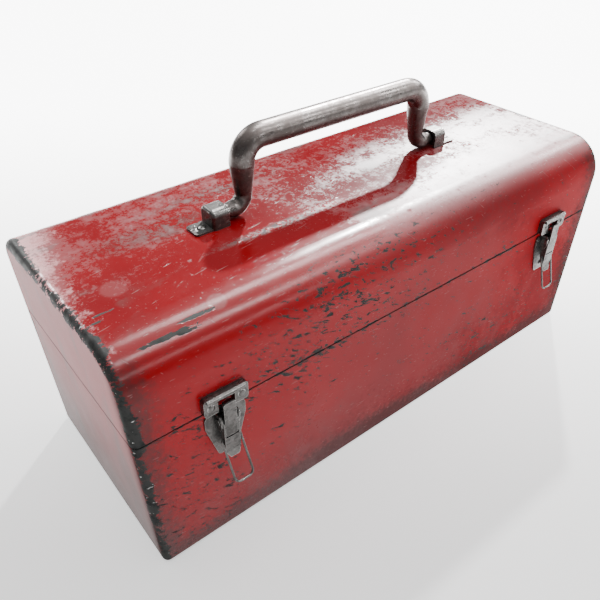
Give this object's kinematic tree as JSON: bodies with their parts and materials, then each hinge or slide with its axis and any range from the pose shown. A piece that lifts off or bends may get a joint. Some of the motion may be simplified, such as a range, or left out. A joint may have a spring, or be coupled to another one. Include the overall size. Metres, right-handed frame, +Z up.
{
  "type": "steel toolbox with tray",
  "caption": "Pressed-steel hand toolbox with hinged lid, carrying handle, draw latches and a tray that rises as the lid opens.",
  "frame": {"origin": "on the floor under the middle of the base", "axes": "+X along the box to the right, +Y to the hinge side, +Z up"},
  "size_m": [0.4796, 0.2094, 0.2587],
  "materials": {
    "red_paint": "glossy red enamel, worn and scratched",
    "handle_steel": "dull worn steel",
    "plated_steel": "zinc plated, tarnished",
    "tray_paint": "red enamel, worn inside"
  },
  "bodies": {
    "base": {"base_wrap": "red_paint", "base_end_left": "red_paint", "base_end_right": "red_paint", "base_rim_strip": "tray_paint", "hinge_leaf_base": "plated_steel", "hinge_rivets_base": "plated_steel", "hinge_pin": "plated_steel", "link_stud_left": "plated_steel", "link_stud_right": "plated_steel", "latch_plate_left": "plated_steel", "latch_plate_right": "plated_steel", "latch_plate_rivets": "plated_steel", "latch_lever_pin_left": "plated_steel", "latch_lever_pin_right": "plated_steel"},
    "lid": {"lid_wrap": "red_paint", "lid_end_left": "red_paint", "lid_end_right": "red_paint", "hinge_leaf_lid": "plated_steel", "hinge_rivets_lid": "plated_steel", "lid_arm_left": "plated_steel", "lid_arm_right": "plated_steel", "handle_bracket_left": "plated_steel", "handle_bracket_right": "plated_steel", "handle_bracket_rivets": "plated_steel", "latch_catch_left": "plated_steel", "latch_catch_right": "plated_steel", "latch_catch_rivets": "plated_steel"},
    "handle": {"handle": "handle_steel"},
    "tray": {"tray_pan": "tray_paint", "tray_long_divider": "tray_paint", "tray_cross_dividers": "tray_paint", "tray_rear_pins": "plated_steel", "tray_front_pins": "plated_steel"},
    "front_link_left": {"front_link_left": "plated_steel"},
    "latch_lever_left": {"latch_lever_left": "plated_steel", "latch_hook_pin_left": "plated_steel"},
    "latch_hook_left": {"latch_hook_left": "plated_steel"},
    "latch_ring_left": {"latch_ring_left": "plated_steel"},
    "front_link_right": {"front_link_right": "plated_steel"},
    "latch_lever_right": {"latch_lever_right": "plated_steel", "latch_hook_pin_right": "plated_steel"},
    "latch_hook_right": {"latch_hook_right": "plated_steel"},
    "latch_ring_right": {"latch_ring_right": "plated_steel"}
  },
  "joints": [
    {"name": "lid_hinge", "type": "hinge", "parent": "base", "child": "lid", "pos_m": [0, 0.0946, 0.1265], "axis": [-1, 0, 0], "range_deg": [0, 105]},
    {"name": "handle_swing", "type": "hinge", "parent": "lid", "child": "handle", "pos_m": [0, 0.0045, 0.2], "axis": [1, 0, 0], "range_deg": [-85, 85]},
    {"name": "tray_pivot", "type": "hinge", "parent": "lid", "child": "tray", "pos_m": [0, 0.01942, 0.09914], "axis": [-1, 0, 0], "range_deg": [-105, 0]},
    {"name": "front_link_left_swing", "type": "hinge", "parent": "base", "child": "front_link_left", "pos_m": [-0.23225, 0.02458, 0.10646], "axis": [-1, 0, 0], "range_deg": [0, 105]},
    {"name": "latch_lever_left_swing", "type": "hinge", "parent": "base", "child": "latch_lever_left", "pos_m": [-0.175, -0.0954, 0.118], "axis": [-1, 0, 0], "range_deg": [0, 95]},
    {"name": "latch_hook_left_pivot", "type": "hinge", "parent": "latch_lever_left", "child": "latch_hook_left", "pos_m": [-0.175, -0.0954, 0.112], "axis": [-1, 0, 0], "range_deg": [-95, 0]},
    {"name": "latch_ring_left_swing", "type": "hinge", "parent": "latch_lever_left", "child": "latch_ring_left", "pos_m": [-0.175, -0.0966, 0.101], "axis": [-1, 0, 0], "range_deg": [0, 70]},
    {"name": "front_link_right_swing", "type": "hinge", "parent": "base", "child": "front_link_right", "pos_m": [0.23225, 0.02458, 0.10646], "axis": [-1, 0, 0], "range_deg": [0, 105]},
    {"name": "latch_lever_right_swing", "type": "hinge", "parent": "base", "child": "latch_lever_right", "pos_m": [0.175, -0.0954, 0.118], "axis": [-1, 0, 0], "range_deg": [0, 95]},
    {"name": "latch_hook_right_pivot", "type": "hinge", "parent": "latch_lever_right", "child": "latch_hook_right", "pos_m": [0.175, -0.0954, 0.112], "axis": [-1, 0, 0], "range_deg": [-95, 0]},
    {"name": "latch_ring_right_swing", "type": "hinge", "parent": "latch_lever_right", "child": "latch_ring_right", "pos_m": [0.175, -0.0966, 0.101], "axis": [-1, 0, 0], "range_deg": [0, 70]}
  ],
  "couplings": [
    {"joint": "tray_pivot", "follows": "lid_hinge", "ratio": -1},
    {"joint": "front_link_left_swing", "follows": "lid_hinge", "ratio": 1},
    {"joint": "latch_hook_left_pivot", "follows": "latch_lever_left_swing", "ratio": -1},
    {"joint": "front_link_right_swing", "follows": "lid_hinge", "ratio": 1},
    {"joint": "latch_hook_right_pivot", "follows": "latch_lever_right_swing", "ratio": -1}
  ]
}
